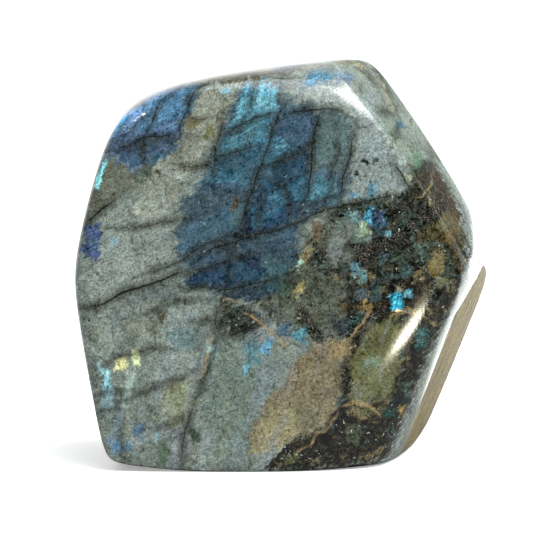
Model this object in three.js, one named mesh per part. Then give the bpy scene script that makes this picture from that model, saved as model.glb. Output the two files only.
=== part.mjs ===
// A polished labradorite freeform: one solid stone, hand ground into a few softly domed
// facets with rounded edges, standing on a flat sawn base. Millimetres, +Z up, the broad
// polished face towards -Y, the origin on the ground under the middle of the stone.

import * as THREE from 'three';

const middleHeight = 65; // height of the stone's middle, which every facet is measured from

// Each ground facet: the direction it faces, its distance from the middle, how softly it
// blends into its neighbours, and the radius of its gentle dome.
//   turn - degrees round the front view, 0 to the right and 90 up
//   lean - degrees towards the viewer, who stands on the -Y side
const facets = {
  front: { turn: 90, lean: 84.5, distance: 29.5, softness: 1.6, dome: 1400 },
  back: { turn: 90, lean: -88, distance: 30, softness: 2.6, dome: 700 },
  base: { turn: 270, lean: 0, distance: 66.4, softness: 1.8, dome: 1500 },
  baseCorner: { turn: 262, lean: 10, distance: 74.4, softness: 1, dome: 4000 },
  top: { turn: 98.8, lean: -2, distance: 62.4, softness: 2.2, dome: 700 },
  shoulder: { turn: 128.7, lean: 8, distance: 70.7, softness: 4, dome: 500 },
  leftUpper: { turn: 166.7, lean: -4, distance: 63.1, softness: 1.8, dome: 600 },
  leftLower: { turn: 189.3, lean: -5, distance: 64.4, softness: 1.6, dome: 900 },
  leftHeel: { turn: 224, lean: 0, distance: 84.5, softness: 2, dome: 900 },
  rightUpper: { turn: 33, lean: 15, distance: 55.9, softness: 1.8, dome: 700 },
  rightCorner: { turn: 3, lean: 9, distance: 66.3, softness: 1.6, dome: 500 },
  rightRoll: { turn: -18, lean: 64, distance: 50.6, softness: 5, dome: 300 },
  rightLower: { turn: -23, lean: 19, distance: 61.4, softness: 1.2, dome: 2000 },
  rawSide: { turn: -22.1, lean: 14, distance: 61.3, softness: 0.4, dome: 4000 },
  rightHeel: { turn: -52.3, lean: 6, distance: 77.7, softness: 1.4, dome: 500 },
  topBevel: { turn: 84, lean: 42, distance: 59, softness: 5.5, dome: 500 },
  rightBevel: { turn: 46, lean: 44, distance: 59, softness: 5.5, dome: 500 },
};

// The mesh runs from a pole in the middle of the front face to a pole on the back face. Rows
// follow the edges round the stone, and rows and columns are closer together where an edge or
// a corner turns. Each band is [from, to, steps] in degrees, rows from the front to the back
// and columns round the front view.
const rowBands = [[-90, -34, 7], [-34, -17, 17], [-17, 16, 5], [16, 32, 12], [32, 90, 6]];
const columnBands = [
  [-12, 20, 12], [20, 50, 7], [50, 76, 12], [76, 112, 9], [112, 160, 15],
  [160, 215, 11], [215, 247, 13], [247, 296, 8], [296, 324, 11], [324, 348, 6],
];

const farthest = 140; // no point of the surface is farther than this from the middle
const halvings = 40; // steps of the bisection that finds the surface along a ray

const stoneColour = 0x4a5a5e;

function facing({ turn, lean }) {
  const t = THREE.MathUtils.degToRad(turn);
  const l = THREE.MathUtils.degToRad(lean);
  return new THREE.Vector3(Math.cos(t) * Math.cos(l), -Math.sin(l), Math.sin(t) * Math.cos(l));
}

const planes = Object.values(facets).map((facet) => ({ ...facet, normal: facing(facet) }));

// Below zero inside the stone and above zero outside. Each facet adds exp(height / softness),
// so flat ground stays flat and two facets blend over a few softnesses where they meet.
function outside(point) {
  let total = 0;
  for (const { normal, distance, softness, dome } of planes) {
    const along = normal.dot(point);
    const across = point.lengthSq() - along * along;
    const height = along - distance + across / (2 * dome);
    total += Math.exp(Math.min(height / softness, 50));
  }
  return total - 1;
}

// The point where a ray from the middle leaves the stone, or meets the saw cut of the base.
function surfacePoint(direction) {
  let low = 0;
  let high = direction.z < 0 ? Math.min(farthest, middleHeight / -direction.z) : farthest;
  const sawn = high;
  for (let i = 0; i < halvings; i += 1) {
    const radius = (low + high) / 2;
    if (outside(direction.clone().multiplyScalar(radius)) > 0) {
      high = radius;
    } else {
      low = radius;
    }
  }
  const point = direction.clone().multiplyScalar(high);
  if (high === sawn) {
    point.z = -middleHeight;
  }
  return point;
}

function steps(bands) {
  const angles = [];
  for (const [from, to, count] of bands) {
    for (let i = 0; i < count; i += 1) {
      angles.push(THREE.MathUtils.degToRad(from + ((to - from) * i) / count));
    }
  }
  return angles;
}

function stoneGeometry() {
  const rows = steps(rowBands).slice(1);
  const columns = steps(columnBands);
  const rims = columns.map((column) => (
    surfacePoint(new THREE.Vector3(Math.cos(column), 0, Math.sin(column)))
  ));
  const points = [surfacePoint(new THREE.Vector3(0, -1, 0))];
  for (const row of rows) {
    for (const rim of rims) {
      const ray = rim.clone().multiplyScalar(Math.cos(row) / middleHeight);
      ray.y = Math.sin(row);
      points.push(surfacePoint(ray.normalize()));
    }
  }
  points.push(surfacePoint(new THREE.Vector3(0, 1, 0)));

  const corner = (row, column) => 1 + row * columns.length + (column % columns.length);
  const backPole = points.length - 1;
  const lastRow = rows.length - 1;
  const triangles = [];
  for (let column = 0; column < columns.length; column += 1) {
    triangles.push(0, corner(0, column), corner(0, column + 1));
    for (let row = 0; row < lastRow; row += 1) {
      const a = corner(row, column);
      const b = corner(row, column + 1);
      const c = corner(row + 1, column + 1);
      const d = corner(row + 1, column);
      triangles.push(a, d, c, a, c, b);
    }
    triangles.push(corner(lastRow, column), backPole, corner(lastRow, column + 1));
  }

  const geometry = new THREE.BufferGeometry().setFromPoints(points);
  geometry.setIndex(triangles);
  geometry.computeBoundingBox();
  const { min, max } = geometry.boundingBox;
  geometry.translate(-(min.x + max.x) / 2, -(min.y + max.y) / 2, middleHeight);
  geometry.computeVertexNormals();
  return geometry;
}

const stone = new THREE.Mesh(
  stoneGeometry(),
  new THREE.MeshStandardMaterial({ color: stoneColour, roughness: 0.15, metalness: 0 }),
);
stone.name = 'stone';

const labradorite = new THREE.Group();
labradorite.name = 'labradorite';
labradorite.add(stone);

export default labradorite;
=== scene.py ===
import math

import bpy
import numpy as np
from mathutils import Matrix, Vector


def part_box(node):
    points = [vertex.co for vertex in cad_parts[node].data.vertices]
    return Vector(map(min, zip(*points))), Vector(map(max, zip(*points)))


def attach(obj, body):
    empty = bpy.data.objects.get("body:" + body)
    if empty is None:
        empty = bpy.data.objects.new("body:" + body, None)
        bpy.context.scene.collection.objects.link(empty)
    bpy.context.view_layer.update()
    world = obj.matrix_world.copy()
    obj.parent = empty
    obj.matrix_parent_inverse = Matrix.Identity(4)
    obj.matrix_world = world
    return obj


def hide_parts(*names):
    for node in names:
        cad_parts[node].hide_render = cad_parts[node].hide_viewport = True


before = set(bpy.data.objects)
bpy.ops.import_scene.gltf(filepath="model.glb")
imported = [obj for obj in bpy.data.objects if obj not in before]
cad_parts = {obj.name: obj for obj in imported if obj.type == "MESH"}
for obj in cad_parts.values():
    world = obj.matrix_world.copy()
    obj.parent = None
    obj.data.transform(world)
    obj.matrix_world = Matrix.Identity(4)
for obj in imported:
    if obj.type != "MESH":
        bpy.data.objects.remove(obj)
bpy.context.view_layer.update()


# Small helpers for building node trees. A value is either a number or another node's output.
def feed(tree, value, socket):
    if isinstance(value, bpy.types.NodeSocket):
        tree.links.new(value, socket)
    elif value is not None:
        socket.default_value = value


def calc(tree, operation, first, second=None, third=None, clamp=False):
    node = tree.nodes.new("ShaderNodeMath")
    node.operation = operation
    node.use_clamp = clamp
    for value, socket in zip((first, second, third), node.inputs):
        feed(tree, value, socket)
    return node.outputs[0]


def vectorCalc(tree, operation, first, second=None):
    node = tree.nodes.new("ShaderNodeVectorMath")
    node.operation = operation
    feed(tree, first, node.inputs[0])
    feed(tree, second, node.inputs[1])
    single = operation in ("LENGTH", "DISTANCE", "DOT_PRODUCT")
    return node.outputs["Value" if single else "Vector"]


def scaled(tree, where, amount):
    node = tree.nodes.new("ShaderNodeVectorMath")
    node.operation = "SCALE"
    feed(tree, where, node.inputs[0])
    feed(tree, amount, node.inputs["Scale"])
    return node.outputs["Vector"]


def split(tree, where):
    node = tree.nodes.new("ShaderNodeSeparateXYZ")
    feed(tree, where, node.inputs[0])
    return node.outputs


def join(tree, x, y, z):
    node = tree.nodes.new("ShaderNodeCombineXYZ")
    for value, socket in zip((x, y, z), node.inputs):
        feed(tree, value, socket)
    return node.outputs[0]


def span(tree, value, low, high, toLow=0.0, toHigh=1.0, smooth=True):
    node = tree.nodes.new("ShaderNodeMapRange")
    node.interpolation_type = "SMOOTHSTEP" if smooth else "LINEAR"
    for given, socket in zip((value, low, high, toLow, toHigh), node.inputs):
        feed(tree, given, socket)
    return node.outputs["Result"]


def blend(tree, amount, under, over, how="MIX"):
    node = tree.nodes.new("ShaderNodeMix")
    node.data_type = "RGBA"
    node.blend_type = how
    feed(tree, amount, node.inputs[0])
    feed(tree, under, node.inputs[6])
    feed(tree, over, node.inputs[7])
    return node.outputs[2]


def mix(tree, amount, under, over):
    node = tree.nodes.new("ShaderNodeMix")
    feed(tree, amount, node.inputs[0])
    feed(tree, under, node.inputs[2])
    feed(tree, over, node.inputs[3])
    return node.outputs[0]


def noise(tree, where, size, detail=3.0, rough=0.55, swirl=0.0):
    node = tree.nodes.new("ShaderNodeTexNoise")
    feed(tree, where, node.inputs["Vector"])
    node.inputs["Scale"].default_value = 1 / size
    node.inputs["Detail"].default_value = detail
    node.inputs["Roughness"].default_value = rough
    node.inputs["Distortion"].default_value = swirl
    return node.outputs


# Random cells a unit wide, or how far their nearest border is.
def cells(tree, where, randomness, feature="F1", flat=False):
    node = tree.nodes.new("ShaderNodeTexVoronoi")
    node.voronoi_dimensions = "2D" if flat else "3D"
    node.feature = feature
    node.inputs["Scale"].default_value = 1.0
    node.inputs["Randomness"].default_value = randomness
    feed(tree, where, node.inputs["Vector"])
    return node.outputs


# From zero to one as a colour gets bluer than it is red, between the two given differences.
def blueness(tree, colour, low, high):
    node = tree.nodes.new("ShaderNodeSeparateColor")
    feed(tree, colour, node.inputs[0])
    return span(tree, calc(tree, "SUBTRACT", node.outputs[2], node.outputs[0]), low, high)


# Turns, moves and squeezes a pattern: what lies at "at" comes to the middle, unturned.
def placed(tree, where, at=(0, 0, 0), turn=0.0, size=(1, 1, 1)):
    node = tree.nodes.new("ShaderNodeMapping")
    node.vector_type = "TEXTURE"
    feed(tree, where, node.inputs["Vector"])
    node.inputs["Location"].default_value = at
    node.inputs["Rotation"].default_value = (0, 0, math.radians(turn))
    node.inputs["Scale"].default_value = size
    return node.outputs[0]


# A drawn curve through the given points, straight or smooth between them.
def curve(tree, value, xs, ys, smooth=False):
    node = tree.nodes.new("ShaderNodeFloatCurve")
    mapping = node.mapping
    mapping.use_clip = False
    points = mapping.curves[0].points
    points[0].location = (xs[0], ys[0])
    points[1].location = (xs[-1], ys[-1])
    for x, y in zip(xs[1:-1], ys[1:-1]):
        points.new(float(x), float(y))
    for point in points:
        point.handle_type = "AUTO" if smooth else "VECTOR"
    mapping.update()
    feed(tree, value, node.inputs["Value"])
    return node.outputs[0]


# A colour code of six hex digits, made linear for the shader.
def hue(code):
    channels = [int(code[i:i + 2], 16) / 255 for i in (0, 2, 4)]
    linear = [c / 12.92 if c < 0.04045 else ((c + 0.055) / 1.055) ** 2.4 for c in channels]
    return (*linear, 1.0)


# The stone's shape: flat facets round a middle, each with a little dome of its own.
stoneShape = {
    "middle": 65.0,  # mm above the ground, where every facet is measured from
    "around": 430,  # points round the stone
    "upwards": 220,  # rows from the base to the top
    "ledges": 0.35,  # mm that the raw side's steps are cut in
    # turn and lean in degrees, then distance, softness and dome radius in mm
    "facets": {
        "front": (90, 84.5, 29.5, 1.6, 1400),
        "back": (90, -88, 30, 2.6, 700),
        "base": (270, 0, 66.4, 1.8, 1500),
        "baseCorner": (262, 10, 74.4, 1, 4000),
        "top": (98.8, -2, 62.4, 2.2, 700),
        "shoulder": (128.7, 8, 70.7, 4, 500),
        "leftUpper": (166.7, -4, 63.1, 1.8, 600),
        "leftLower": (189.3, -5, 64.4, 1.6, 900),
        "leftHeel": (224, 0, 84.5, 2, 900),
        "rightUpper": (33, 15, 55.9, 1.8, 700),
        "rightCorner": (3, 9, 66.3, 1.6, 500),
        "rightRoll": (-18, 64, 50.6, 5, 300),
        "rightLower": (-23, 19, 61.4, 1.2, 2000),
        "rawSide": (-22.1, 14, 61.3, 0.4, 4000),
        "rightHeel": (-52.3, 6, 77.7, 1.4, 500),
        "topBevel": (84, 42, 59, 5.5, 500),
        "rightBevel": (46, 44, 59, 5.5, 500),
    },
}


def facing(turn, lean):
    t, l = np.radians(turn), np.radians(lean)
    return np.stack([np.cos(t) * np.cos(l), -np.sin(l), np.sin(t) * np.cos(l)], -1)


# Each facet adds exp(height / softness), the height of a point over that facet's gentle
# dome. Inside the stone the sum is below one, outside it is above one.
def isOutside(points):
    turn, lean, distance, softness, dome = np.array(list(stoneShape["facets"].values())).T
    along = points @ facing(turn, lean).T
    across = (points**2).sum(-1)[..., None] - along**2
    height = along - distance + across / (2 * dome)
    return np.exp(np.minimum(height / softness, 50)).sum(-1) > 1


# Halves the stretch between low and high along each ray until it ends on the surface.
def halve(rays, start):
    low = np.full(rays.shape[:-1], 5.0)
    high = np.full(rays.shape[:-1], 140.0)
    for _ in range(28):
        middle = (low + high) / 2
        out = isOutside(start + rays * middle[..., None])
        high = np.where(out, middle, high)
        low = np.where(out, low, middle)
    return (low + high) / 2


# The raw side's own directions: outwards, down its length, and across that.
def rawDirections():
    normal = facing(*stoneShape["facets"]["rawSide"][:2])
    down = np.cross(normal, facing(*stoneShape["facets"]["front"][:2]))
    down /= np.linalg.norm(down)
    return normal, down, np.cross(normal, down)


# The raw side breaks in thin steps along the cleavage. Across them the cut goes up and down
# between random levels, and it wanders slowly along the steps.
def rawLedges(points):
    _, _, distance, _, dome = stoneShape["facets"]["rawSide"]
    normal, down, over = rawDirections()
    along, across = points @ down, points @ over
    onSide = points @ normal
    height = onSide - distance + ((points**2).sum(-1) - onSide**2) / (2 * dome)
    amount = np.clip((height + 0.9) / 0.7, 0, 1)
    rng = np.random.default_rng(7)
    levels = rng.random(400)
    fine = rng.random(400)
    grid = np.arange(400)
    wander = 0.9 * np.sin(along * 0.13) + 0.5 * np.sin(along * 0.31 + 1)
    steps = np.interp((across + wander) * 0.8 + 200, grid, levels)
    chips = np.interp(along * 0.9 + across * 0.15 + 200, grid, fine)
    cut = stoneShape["ledges"] * (0.7 * steps + 0.5 * chips**3)
    return points - (amount * amount * (3 - 2 * amount) * cut)[..., None] * normal


# One row of points where the saw cut meets the sides, rows above it up to the top, and the
# top point. Every ray starts at the stone's middle.
def stoneSurface():
    around, upwards = stoneShape["around"], stoneShape["upwards"]
    compass = np.linspace(0, 2 * np.pi, around, endpoint=False)
    level = np.stack([np.cos(compass), np.sin(compass), np.zeros(around)], -1)
    reach = halve(level, np.array([0, 0, -stoneShape["middle"]]))
    lowest = np.arctan2(-stoneShape["middle"], reach)
    climb = (np.arange(upwards) / upwards)[:, None] ** 1.2
    angle = lowest + (np.pi / 2 - lowest) * climb
    rays = np.cos(angle)[..., None] * level + np.sin(angle)[..., None] * np.array([0, 0, 1])
    rows = rays * halve(rays, np.zeros(3))[..., None]
    rows[0, :, 2] = -stoneShape["middle"]
    top = halve(np.array([0.0, 0.0, 1.0]), np.zeros(3)) * np.array([0, 0, 1])
    return rawLedges(rows), top


def buildStone():
    rows, top = stoneSurface()
    upwards, around = rows.shape[:2]
    base = np.array([0, 0, -stoneShape["middle"]])
    points = np.vstack([rows.reshape(-1, 3), top, base])
    # moved into the box of the solid, and squeezed by a few hundredths of a millimetre
    low, high = np.array(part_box("stone")) * 1000
    stoneShape["moved"] = low - points.min(0)
    points = low + (points - points.min(0)) * (high - low) / np.ptp(points, axis=0)
    this = np.arange(around)
    after = (this + 1) % around
    start = np.arange(upwards - 1)[:, None] * around
    quads = np.stack([start + this, start + after, start + around + after,
                      start + around + this], -1).reshape(-1, 4)
    lastRow = (upwards - 1) * around
    topPoint, basePoint = upwards * around, upwards * around + 1
    cap = np.stack([lastRow + this, lastRow + after, np.full(around, topPoint)], -1)
    saw = np.stack([after, this, np.full(around, basePoint)], -1)
    mesh = bpy.data.meshes.new("labradoriteStone")
    mesh.from_pydata((points / 1000).tolist(), [], quads.tolist() + cap.tolist() + saw.tolist())
    flat = np.zeros(len(mesh.polygons), bool)
    flat[-around:] = True
    mesh.attributes.new("sharp_face", "BOOLEAN", "FACE").data.foreach_set("value", flat)
    mesh.update()
    stone = bpy.data.objects.new("labradoriteStone", mesh)
    bpy.context.scene.collection.objects.link(stone)
    return stone


stone = buildStone()
print("stone: surface of", len(stone.data.polygons), "faces")


# Flat areas of the front face, in the order they are laid: corners across and up in mm, how
# softly an edge ends in mm, and how broken the ground is.
facePatches = {
    "topRightGrey": dict(colour="75807d", soft=3.8,
        at=[(20.5, 112.5), (27, 124), (34, 117), (46, 97.5), (41, 86.5), (19, 83.5), (17, 91.5),
            (21.5, 106.5)]),
    "leftShade": dict(colour="595e52", soft=3.0,
        at=[(-61.5, 87), (-59, 96), (-53, 101), (-38.5, 96), (-43.5, 90), (-53.5, 83.5),
            (-59, 80.5), (-64, 80.5)]),
    "palePlain": dict(colour="76807a", soft=3.8,
        at=[(-55.5, 83.5), (-40.5, 86.5), (-36.5, 81.5), (-38, 69.5), (-46.5, 59), (-57.5, 55),
            (-64, 54), (-63, 66), (-58, 72.5)]),
    "khakiBand": dict(colour="7b8175", soft=1.8,
        at=[(-25, 121), (-13, 120.5), (-16.5, 114), (-21, 107), (-27.5, 98.5), (-33, 93),
            (-41, 94), (-43.5, 95.5), (-34, 105), (-32, 111.5)]),
    "paleSpur": dict(colour="7a8278", soft=2.2,
        at=[(-41, 94.5), (-32, 93.5), (-34, 87), (-37.5, 80.5), (-43.5, 77), (-48.5, 82.5),
            (-45, 89)]),
    "violetShelf": dict(colour="5d6664", soft=1.8,
        at=[(-51, 56), (-45, 57.5), (-38, 59.5), (-34, 57.5), (-33.5, 55.5), (-41, 53.5),
            (-48.5, 52.5)]),
    "lowerPale": dict(colour="637169", soft=4.5,
        at=[(-25.5, 40), (-12, 41), (-5.5, 33), (-6.5, 22), (-10, 4.5), (-24, 4.5), (-26, 20)]),
    "oliveFlank": dict(colour="777e64", soft=1.5,
        at=[(-39, 26), (-29.5, 29.5), (-30, 23.5), (-30.5, 17), (-39, 14), (-41, 17.5)]),
    "rightBevelTone": dict(colour="677468", soft=2.2,
        at=[(27, 115), (32.5, 117.5), (37.5, 112.5), (45, 96), (47.5, 88.5), (43, 86), (36, 96),
            (31, 104)]),
    "topStrip": dict(colour="484536", soft=1.2,
        at=[(-26, 124), (-12, 127), (3.5, 129.5), (16, 131), (26, 129), (30, 124.5), (22.5, 127),
            (10, 127), (-8.5, 124), (-23, 120)]),
    "darkUpper": dict(colour="292c26", soft=2.7, rubble=1.0,
        at=[(-1, 66), (17.5, 83.5), (35, 86.5), (46, 95), (56.5, 77.5), (58, 66), (52, 54),
            (44.5, 38.5), (36.5, 37.5), (19.5, 40), (3.5, 44.5), (-8.5, 51), (-10.5, 55)]),
    "darkLower": dict(colour="1b190f", soft=2.2, rubble=1.0,
        at=[(17.5, 54), (57, 66), (52, 54), (44.5, 38.5), (38.5, 22.5), (32, 2), (10, 0.5),
            (-8.5, 0.5), (-8.5, 4.5), (3.5, 12), (14.5, 19), (17, 29), (19.5, 40)]),
    "smokeBrown": dict(colour="4a5046", soft=2.1, rubble=0.4,
        at=[(-8.5, 50), (-5, 58.5), (1, 64), (9, 66), (16, 60), (18, 54), (17.5, 44.5), (12.5, 40),
            (3.5, 43), (-2.5, 47)]),
    "darkWedge": dict(colour="29302c", soft=1.4, rubble=0.4,
        at=[(-21, 54), (-17.5, 53.5), (-12.5, 51), (-7.5, 47.5), (-10, 44.5), (-16, 42.5),
            (-21, 44.5)]),
    "brownRight": dict(colour="383320", soft=1.8, rubble=0.7,
        at=[(40, 74), (47, 78.5), (54.5, 79.5), (56.5, 72.5), (54.5, 66), (50, 58.5), (45, 59),
            (42.5, 67)]),
    "blueField": dict(colour="364d5a", soft=2.5,
        at=[(-14.5, 120), (-8.5, 121.5), (-2.5, 117.5), (9, 114), (17.5, 112), (18, 94.5),
            (16, 83.5), (6.5, 81), (3, 77.5), (3.5, 71), (1, 66), (-4, 58.5), (-9.5, 57),
            (-16, 58), (-21, 55), (-26, 58.5), (-31.5, 64), (-35.5, 67), (-34, 74.5), (-32, 80.5),
            (-28.5, 88.5), (-24, 96), (-22, 104), (-18.5, 113.5)]),
    "tealPeak": dict(colour="639bab", soft=0.8,
        at=[(-13, 120.5), (-8.5, 122), (-2.5, 120.5), (-3, 114), (-10, 111.5), (-16, 109),
            (-19, 107)]),
    "tealShelf": dict(colour="426570", soft=0.8,
        at=[(-21, 105), (-15, 108.5), (-10, 111), (-3, 113.5), (-4, 110.5), (-6.5, 103),
            (-14.5, 101), (-22.5, 99)]),
    "tealStep": dict(colour="293e4a", soft=0.8,
        at=[(-22.5, 98.5), (-14.5, 100.5), (-8.5, 101.5), (-9.5, 94.5), (-16.5, 93), (-23, 93)]),
    "slatePlain": dict(colour="384953", soft=1.0,
        at=[(-34, 85), (-27.5, 87.5), (-12, 88.5), (-10, 78.5), (-16, 71.5), (-32, 66.5),
            (-34, 74)]),
    "deepBlue": dict(colour="1b2836", soft=0.8,
        at=[(-10, 88.5), (-2.5, 92), (-2.5, 76.5), (-15.5, 72), (-13, 81.5)]),
    "violetTile": dict(colour="2d4553", soft=0.8,
        at=[(-2.5, 111), (4, 112.5), (9.5, 113), (8.5, 107), (7.5, 103), (3, 100), (-6, 96),
            (-4.5, 105.5)]),
    "midBlue": dict(colour="294050", soft=0.8,
        at=[(-6, 96), (3, 100), (7, 102.5), (7, 93.5), (5.5, 86.5), (4.5, 80.5), (0.5, 81),
            (-1, 88), (-6, 91.5)]),
    "domeTile": dict(colour="253e53", soft=0.8,
        at=[(-11.5, 91), (-6, 92), (-3, 90), (-1, 88), (0, 85), (0, 81), (-0.5, 78),
            (-11.5, 74.5)]),
    "greenSlope": dict(colour="516261", soft=1.2,
        at=[(9.5, 113), (20.5, 110.5), (20, 105.5), (19.5, 100), (17.5, 93), (7, 93.5),
            (7.5, 100)]),
    "tealFoot": dict(colour="4a6973", soft=0.8,
        at=[(7, 93.5), (12, 94.5), (17.5, 93), (15.5, 83.5), (5, 81.5)]),
    "underBlue": dict(colour="223548", soft=0.8,
        at=[(-33.5, 60), (-29.5, 62.5), (-18.5, 66.5), (-2.5, 68), (3, 69), (-0.5, 62), (-9, 59.5),
            (-14.5, 58.5), (-19.5, 58), (-29.5, 58), (-33, 58.5)]),
    "lowBlue": dict(colour="25333e", soft=1.2,
        at=[(-19, 57), (-2.5, 60), (-1.5, 57.5), (-10, 53.5), (-19, 55)]),
    "deepFoot": dict(colour="3d5559", soft=0.8,
        at=[(-8.5, 68.5), (2, 67.5), (0, 62.5), (-2.5, 58), (-6, 56), (-8.5, 61)]),
    "cornerField": dict(colour="607fa0", soft=2.4,
        at=[(-56, 105), (-52.5, 111), (-48, 115), (-43.5, 117.5), (-38.5, 119.5), (-30, 121.5),
            (-31, 115), (-32.5, 109.5), (-34.5, 104.5), (-38.5, 101), (-43.5, 97), (-48, 94.5),
            (-53, 95.5), (-56, 99.5)]),
    "cornerSky": dict(colour="6487b1", soft=0.8,
        at=[(-51.5, 110.5), (-48, 114.5), (-43.5, 117.5), (-38, 120), (-34.5, 120.5), (-41, 114),
            (-45, 110.5), (-48.5, 108.5), (-53.5, 105.5), (-55, 106.5)]),
    "cornerDeep": dict(colour="516b8d", soft=0.8,
        at=[(-35, 120.5), (-26, 121.5), (-29.5, 118.5), (-32, 112.5), (-33.5, 109), (-34.5, 105),
            (-44.5, 105), (-43, 109), (-41, 114)]),
    "cornerFoot": dict(colour="3a3318", soft=1.0,
        at=[(-54, 101), (-48.5, 103), (-45, 104.5), (-40, 104.5), (-41, 100), (-45, 96),
            (-51, 96)]),
    "cornerLow": dict(colour="34495a", soft=1.4,
        at=[(-54, 103.5), (-44.5, 105), (-34, 105), (-38, 100), (-45, 95.5), (-52, 95.5)]),
    "leftViolet": dict(colour="384569", soft=0.8,
        at=[(-64, 77), (-58.5, 77.5), (-59, 71), (-59.5, 66.5), (-64.5, 66.5)]),
    "topCyan": dict(colour="146b8a", soft=0.8,
        at=[(6, 124), (7.5, 127), (12.5, 126.5), (13, 123.5), (12, 121.5), (8.5, 121), (5, 120.5)]),
    "topBlue": dict(colour="123c7c", soft=0.8,
        at=[(13.5, 125), (21.5, 125), (20.5, 122.5), (15.5, 122)]),
    "topViolet": dict(colour="1f2e54", soft=0.8,
        at=[(13, 127.5), (21.5, 127.5), (19, 125.5), (13, 125.5)]),
    "tanWindow": dict(colour="6c6550", soft=1.2,
        at=[(9.5, 41.5), (19, 41.5), (20.5, 37.5), (16, 34), (17, 28.5), (15.5, 24), (14.5, 18.5),
            (11, 14), (3, 11.5), (-3, 8), (-12, 6), (-11.5, 13.5), (-6, 25), (-2, 28.5), (1, 33.5),
            (5, 37.5)]),
    "tanPale": dict(colour="7d785a", soft=1.0,
        at=[(-6, 20.5), (3, 22), (4.5, 16.5), (3, 11.5), (-3, 8), (-12, 6), (-11, 13)]),
    "mauvePlain": dict(colour="5d6a66", soft=2.2,
        at=[(-8.5, 37.5), (1, 34), (-2, 28.5), (-6, 25), (-10, 24)]),
    "greenLens": dict(colour="515336", soft=1.5,
        at=[(25, 47), (34, 48.5), (35, 43.5), (32.5, 37.5), (36.5, 34.5), (33, 26), (30.5, 22),
            (20.5, 22.5), (19, 28.5), (20, 37.5)]),
    "oliveGlow": dict(colour="687579", soft=1.5,
        at=[(20, 76), (24.5, 77), (26, 73.5), (23.5, 70), (20, 71)]),
    "smokePale": dict(colour="575f57", soft=2.2,
        at=[(13.5, 77), (19, 80.5), (22.5, 74), (21.5, 66.5), (14, 66.5), (12, 71.5)]),
    "edgeTan": dict(colour="2a2a20", soft=1.5,
        at=[(38.5, 93.5), (46, 97), (48, 94), (47, 91), (43.5, 87.5), (39.5, 86.5)]),
    "rimDark": dict(colour="332a1b", soft=1.5,
        at=[(47, 97.5), (49.5, 94.5), (53, 86.5), (57, 78.5), (54.5, 77), (50, 83.5), (46, 88.5),
            (47, 92)]),
    "goldPatch": dict(colour="54482a", soft=1.4,
        at=[(48.5, 80), (53, 80.5), (56, 77), (53.5, 73), (49.5, 72.5), (47, 77)]),
    "goldLow": dict(colour="2b3432", soft=1.4,
        at=[(43, 66.5), (48.5, 67), (51, 63), (50.5, 58), (46.5, 58.5), (43.5, 63)]),
}

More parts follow.
